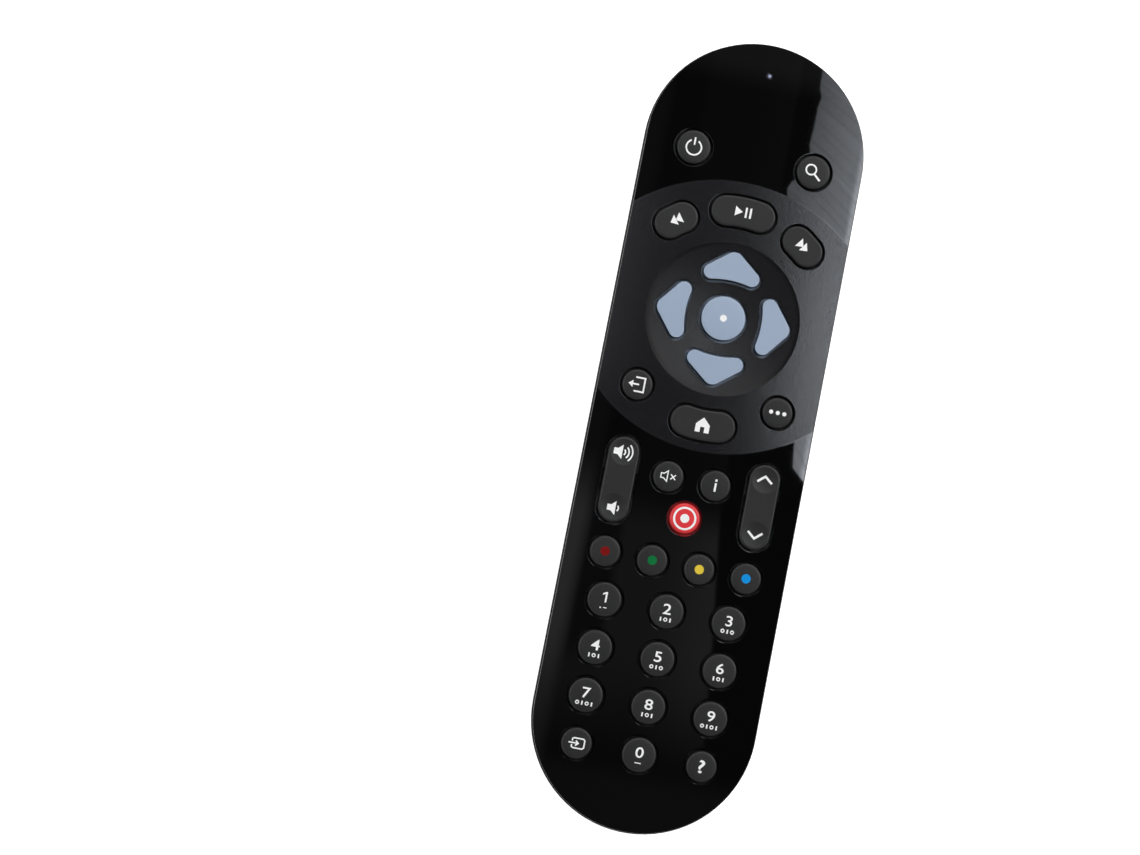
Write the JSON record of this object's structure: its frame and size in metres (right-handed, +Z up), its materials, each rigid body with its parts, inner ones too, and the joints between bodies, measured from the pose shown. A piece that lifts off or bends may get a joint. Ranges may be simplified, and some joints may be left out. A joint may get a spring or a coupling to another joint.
{
  "type": "tv box remote control",
  "caption": "Slim remote control with round ends, a gloss face of round, curved and arrow keys, and a rounded back whose battery cover opens at a round release button.",
  "frame": {"origin": "middle of the flat belly that the remote rests on, at the middle of its length and width", "axes": "+X to the right of someone who reads the keys, +Y towards the infrared end, +Z up through the keys"},
  "size_m": [0.045, 0.161, 0.0186],
  "materials": {
    "casing": "fine satin texture",
    "face": "gloss, with a satin zone round the ring",
    "key_black": "soft matt",
    "arrow_grey": "smooth satin, blue-grey",
    "record_red": "soft matt",
    "key_rubber": "matt",
    "board": "lacquered",
    "chip": "matt",
    "capacitor_sleeve": "gloss",
    "ir_window": "polished, dark red by transmitted light",
    "emitter_resin": "clear tinted resin",
    "lamp": "gloss",
    "lens": "clear",
    "steel": "bright",
    "spring_steel": "drawn wire and strip",
    "contact_plating": "nickel plated",
    "cell_sleeve": "printed foil sleeve"
  },
  "bodies": {
    "remote": {"rear_casing": "casing", "front_plate": "face", "keypad_sheet": "key_rubber", "circuit_board": "board", "cell_right": "cell_sleeve", "cell_left": "cell_sleeve", "negative_contact": "contact_plating", "positive_contact": "contact_plating", "bridge_contact": "contact_plating", "contact_spring_top": "spring_steel", "contact_spring_bottom": "spring_steel", "ir_window": "ir_window", "ir_emitter": "emitter_resin", "status_lamp": "lamp", "status_light_pipe": "lens", "controller_chip": "chip", "crystal": "steel", "capacitor": "capacitor_sleeve", "case_screw": "steel"},
    "cover": {"battery_cover": "casing", "latch_clip": "spring_steel", "release_spring": "spring_steel"},
    "release": {"release_button": "casing"},
    "power_key": {"power_key": "key_black"},
    "search_key": {"search_key": "key_black"},
    "ok_key": {"ok_key": "arrow_grey"},
    "back_key": {"back_key": "key_black"},
    "more_key": {"more_key": "key_black"},
    "mute_key": {"mute_key": "key_black"},
    "info_key": {"info_key": "key_black"},
    "record_key": {"record_key": "record_red"},
    "red_key": {"red_key": "key_black"},
    "green_key": {"green_key": "key_black"},
    "yellow_key": {"yellow_key": "key_black"},
    "blue_key": {"blue_key": "key_black"},
    "input_key": {"input_key": "key_black"},
    "help_key": {"help_key": "key_black"},
    "play_pause_key": {"play_pause_key": "key_black"},
    "home_key": {"home_key": "key_black"},
    "rewind_key": {"rewind_key": "key_black"},
    "fast_forward_key": {"fast_forward_key": "key_black"},
    "up_key": {"up_key": "arrow_grey"},
    "left_key": {"left_key": "arrow_grey"},
    "down_key": {"down_key": "arrow_grey"},
    "right_key": {"right_key": "arrow_grey"},
    "digit_0_key": {"digit_0_key": "key_black"},
    "digit_1_key": {"digit_1_key": "key_black"},
    "digit_2_key": {"digit_2_key": "key_black"},
    "digit_3_key": {"digit_3_key": "key_black"},
    "digit_4_key": {"digit_4_key": "key_black"},
    "digit_5_key": {"digit_5_key": "key_black"},
    "digit_6_key": {"digit_6_key": "key_black"},
    "digit_7_key": {"digit_7_key": "key_black"},
    "digit_8_key": {"digit_8_key": "key_black"},
    "digit_9_key": {"digit_9_key": "key_black"},
    "volume_rocker": {"volume_rocker": "key_black"},
    "channel_rocker": {"channel_rocker": "key_black"}
  },
  "joints": [
    {"name": "power_press", "type": "slide", "parent": "remote", "child": "power_key", "axis": [0, 0, -1], "range_m": [0, 0.0007], "stiffness_N_per_m": 1500},
    {"name": "search_press", "type": "slide", "parent": "remote", "child": "search_key", "axis": [0, 0, -1], "range_m": [0, 0.0007], "stiffness_N_per_m": 1500},
    {"name": "ok_press", "type": "slide", "parent": "remote", "child": "ok_key", "axis": [0, 0, -1], "range_m": [0, 0.0007], "stiffness_N_per_m": 1500},
    {"name": "back_press", "type": "slide", "parent": "remote", "child": "back_key", "axis": [0, 0, -1], "range_m": [0, 0.0007], "stiffness_N_per_m": 1500},
    {"name": "more_press", "type": "slide", "parent": "remote", "child": "more_key", "axis": [0, 0, -1], "range_m": [0, 0.0007], "stiffness_N_per_m": 1500},
    {"name": "mute_press", "type": "slide", "parent": "remote", "child": "mute_key", "axis": [0, 0, -1], "range_m": [0, 0.0007], "stiffness_N_per_m": 1500},
    {"name": "info_press", "type": "slide", "parent": "remote", "child": "info_key", "axis": [0, 0, -1], "range_m": [0, 0.0007], "stiffness_N_per_m": 1500},
    {"name": "record_press", "type": "slide", "parent": "remote", "child": "record_key", "axis": [0, 0, -1], "range_m": [0, 0.0007], "stiffness_N_per_m": 1500},
    {"name": "red_press", "type": "slide", "parent": "remote", "child": "red_key", "axis": [0, 0, -1], "range_m": [0, 0.0007], "stiffness_N_per_m": 1500},
    {"name": "green_press", "type": "slide", "parent": "remote", "child": "green_key", "axis": [0, 0, -1], "range_m": [0, 0.0007], "stiffness_N_per_m": 1500},
    {"name": "yellow_press", "type": "slide", "parent": "remote", "child": "yellow_key", "axis": [0, 0, -1], "range_m": [0, 0.0007], "stiffness_N_per_m": 1500},
    {"name": "blue_press", "type": "slide", "parent": "remote", "child": "blue_key", "axis": [0, 0, -1], "range_m": [0, 0.0007], "stiffness_N_per_m": 1500},
    {"name": "input_press", "type": "slide", "parent": "remote", "child": "input_key", "axis": [0, 0, -1], "range_m": [0, 0.0007], "stiffness_N_per_m": 1500},
    {"name": "help_press", "type": "slide", "parent": "remote", "child": "help_key", "axis": [0, 0, -1], "range_m": [0, 0.0007], "stiffness_N_per_m": 1500},
    {"name": "play_pause_press", "type": "slide", "parent": "remote", "child": "play_pause_key", "axis": [0, 0, -1], "range_m": [0, 0.0007], "stiffness_N_per_m": 1500},
    {"name": "home_press", "type": "slide", "parent": "remote", "child": "home_key", "axis": [0, 0, -1], "range_m": [0, 0.0007], "stiffness_N_per_m": 1500},
    {"name": "rewind_press", "type": "slide", "parent": "remote", "child": "rewind_key", "axis": [0, 0, -1], "range_m": [0, 0.0007], "stiffness_N_per_m": 1500},
    {"name": "fast_forward_press", "type": "slide", "parent": "remote", "child": "fast_forward_key", "axis": [0, 0, -1], "range_m": [0, 0.0007], "stiffness_N_per_m": 1500},
    {"name": "up_press", "type": "slide", "parent": "remote", "child": "up_key", "axis": [0, 0, -1], "range_m": [0, 0.0007], "stiffness_N_per_m": 1500},
    {"name": "left_press", "type": "slide", "parent": "remote", "child": "left_key", "axis": [0, 0, -1], "range_m": [0, 0.0007], "stiffness_N_per_m": 1500},
    {"name": "down_press", "type": "slide", "parent": "remote", "child": "down_key", "axis": [0, 0, -1], "range_m": [0, 0.0007], "stiffness_N_per_m": 1500},
    {"name": "right_press", "type": "slide", "parent": "remote", "child": "right_key", "axis": [0, 0, -1], "range_m": [0, 0.0007], "stiffness_N_per_m": 1500},
    {"name": "digit_0_press", "type": "slide", "parent": "remote", "child": "digit_0_key", "axis": [0, 0, -1], "range_m": [0, 0.0007], "stiffness_N_per_m": 1500},
    {"name": "digit_1_press", "type": "slide", "parent": "remote", "child": "digit_1_key", "axis": [0, 0, -1], "range_m": [0, 0.0007], "stiffness_N_per_m": 1500},
    {"name": "digit_2_press", "type": "slide", "parent": "remote", "child": "digit_2_key", "axis": [0, 0, -1], "range_m": [0, 0.0007], "stiffness_N_per_m": 1500},
    {"name": "digit_3_press", "type": "slide", "parent": "remote", "child": "digit_3_key", "axis": [0, 0, -1], "range_m": [0, 0.0007], "stiffness_N_per_m": 1500},
    {"name": "digit_4_press", "type": "slide", "parent": "remote", "child": "digit_4_key", "axis": [0, 0, -1], "range_m": [0, 0.0007], "stiffness_N_per_m": 1500},
    {"name": "digit_5_press", "type": "slide", "parent": "remote", "child": "digit_5_key", "axis": [0, 0, -1], "range_m": [0, 0.0007], "stiffness_N_per_m": 1500},
    {"name": "digit_6_press", "type": "slide", "parent": "remote", "child": "digit_6_key", "axis": [0, 0, -1], "range_m": [0, 0.0007], "stiffness_N_per_m": 1500},
    {"name": "digit_7_press", "type": "slide", "parent": "remote", "child": "digit_7_key", "axis": [0, 0, -1], "range_m": [0, 0.0007], "stiffness_N_per_m": 1500},
    {"name": "digit_8_press", "type": "slide", "parent": "remote", "child": "digit_8_key", "axis": [0, 0, -1], "range_m": [0, 0.0007], "stiffness_N_per_m": 1500},
    {"name": "digit_9_press", "type": "slide", "parent": "remote", "child": "digit_9_key", "axis": [0, 0, -1], "range_m": [0, 0.0007], "stiffness_N_per_m": 1500},
    {"name": "volume_rock", "type": "hinge", "parent": "remote", "child": "volume_rocker", "pos_m": [-0.0144, -0.0123, 0.0172], "axis": [1, 0, 0], "range_deg": [-3.5, 3.5], "stiffness_Nm_per_rad": 0.15},
    {"name": "channel_rock", "type": "hinge", "parent": "remote", "child": "channel_rocker", "pos_m": [0.0144, -0.0123, 0.0172], "axis": [1, 0, 0], "range_deg": [-3.5, 3.5], "stiffness_Nm_per_rad": 0.15},
    {"name": "cover_swing", "type": "hinge", "parent": "remote", "child": "cover", "pos_m": [0, -0.07, 0.0001], "axis": [-1, 0, 0], "range_deg": [0, 60]},
    {"name": "release_slide", "type": "slide", "parent": "cover", "child": "release", "axis": [0, 0, 1], "range_m": [0, 0.001], "stiffness_N_per_m": 1200, "deforming": ["release_spring"]}
  ]
}
